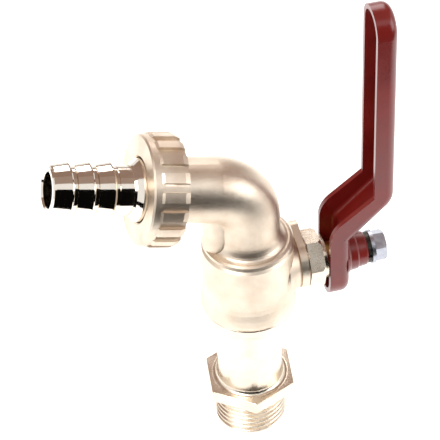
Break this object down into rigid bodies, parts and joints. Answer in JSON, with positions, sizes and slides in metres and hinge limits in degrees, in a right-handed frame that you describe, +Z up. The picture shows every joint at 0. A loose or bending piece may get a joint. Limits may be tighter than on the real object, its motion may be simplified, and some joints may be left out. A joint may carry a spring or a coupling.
{
  "type": "ball valve bib tap with hose union",
  "caption": "Ball valve bib tap with a threaded inlet, an elbow spout carrying a ribbed union nut and a barbed hose tail, and a pressed steel lever on a side stem.",
  "frame": {"origin": "centre of the inlet end face, on the inlet axis", "axes": "+Z up the inlet axis towards the ball, +X along the stem towards the lever, the spout leaves towards -X"},
  "size_m": [0.1002, 0.0322, 0.1498],
  "materials": {
    "nickel_cast": "sandblasted nickel plate over cast brass",
    "nickel_turned": "nickel plate over turned brass",
    "nickel_bright": "polished nickel plate over turned brass",
    "ball_chrome": "polished chrome plate over brass",
    "stem_brass": "turned brass",
    "red_enamel": "dark red enamel over pressed steel",
    "zinc_steel": "bright zinc plate",
    "dark_steel": "dark spring steel",
    "seat_plastic": "white fluoropolymer",
    "seal_fibre": "dark sealing fibre",
    "gasket_rubber": "black rubber"
  },
  "bodies": {
    "valve": {"valve_body": "nickel_cast", "inlet_connector": "nickel_turned", "connector_seal": "seal_fibre", "inlet_seat": "seat_plastic", "outlet_seat": "seat_plastic", "stem_thrust_washer": "seat_plastic", "stem_packing": "seat_plastic", "gland_nut": "nickel_turned", "union_gasket": "gasket_rubber"},
    "lever_and_ball": {"lever": "red_enamel", "stem": "stem_brass", "ball": "ball_chrome", "spring_washer": "dark_steel", "flat_washer": "zinc_steel", "lever_bolt": "zinc_steel"},
    "nut": {"union_nut": "nickel_cast"},
    "tail": {"hose_tail": "nickel_bright"}
  },
  "joints": [
    {"name": "lever_turn", "type": "hinge", "parent": "valve", "child": "lever_and_ball", "pos_m": [0, 0, 0.0593], "axis": [-1, 0, 0], "range_deg": [0, 90]},
    {"name": "nut_turn", "type": "hinge", "parent": "valve", "child": "nut", "pos_m": [-0.02614, 0, 0.09846], "axis": [-0.9681, 0, 0.2504], "continuous": true},
    {"name": "tail_swivel", "type": "hinge", "parent": "valve", "child": "tail", "pos_m": [-0.02856, 0, 0.09909], "axis": [-0.9681, 0, 0.2504], "continuous": true}
  ]
}
